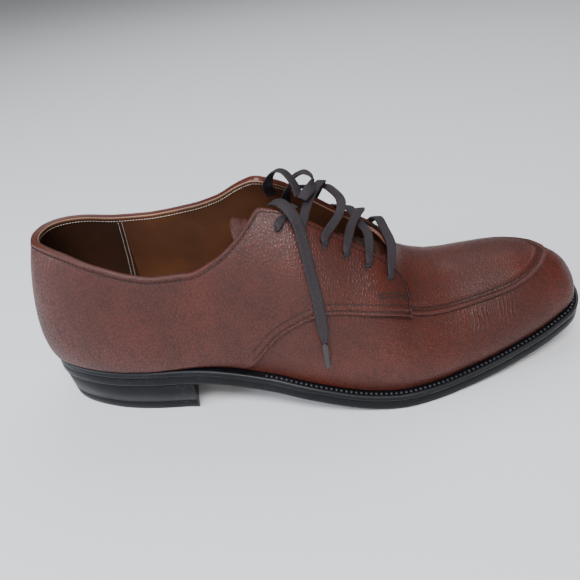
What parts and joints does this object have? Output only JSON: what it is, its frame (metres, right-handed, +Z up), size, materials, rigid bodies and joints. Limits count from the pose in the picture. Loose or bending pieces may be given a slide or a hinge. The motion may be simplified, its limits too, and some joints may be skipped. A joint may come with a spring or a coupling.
{
  "type": "derby shoe",
  "caption": "Man's right derby shoe with a raised apron seam, open-laced quarters, a welted leather sole and a stacked block heel, standing empty.",
  "frame": {"origin": "centre of the heel's floor face, on the floor", "axes": "+X from the heel to the toe, +Y to the inner side of the foot, +Z up"},
  "size_m": [0.311, 0.1083, 0.1204],
  "materials": {
    "grain_leather": "reddish brown pebble grain, softly polished",
    "lining_leather": "smooth tan lining",
    "sole_leather": "black, glossy edges",
    "heel_rubber": "black, satin",
    "lace_cotton": "flat woven dark brown cotton",
    "tag_plastic": "clear dark film"
  },
  "bodies": {
    "root": {"upper": "grain_leather", "quarter_outer": "grain_leather", "quarter_inner": "grain_leather", "apron": "grain_leather", "tongue": "grain_leather", "insole": "lining_leather", "welt": "sole_leather", "outsole": "sole_leather", "heel_block": "sole_leather", "top_lift": "heel_rubber", "lace_bar_front": "lace_cotton", "lace_cross_middle": "lace_cotton", "lace_cross_top": "lace_cotton", "lace_loop_back": "lace_cotton", "lace_loop_front": "lace_cotton", "lace_end": "lace_cotton", "lace_tag": "tag_plastic"}
  },
  "joints": []
}
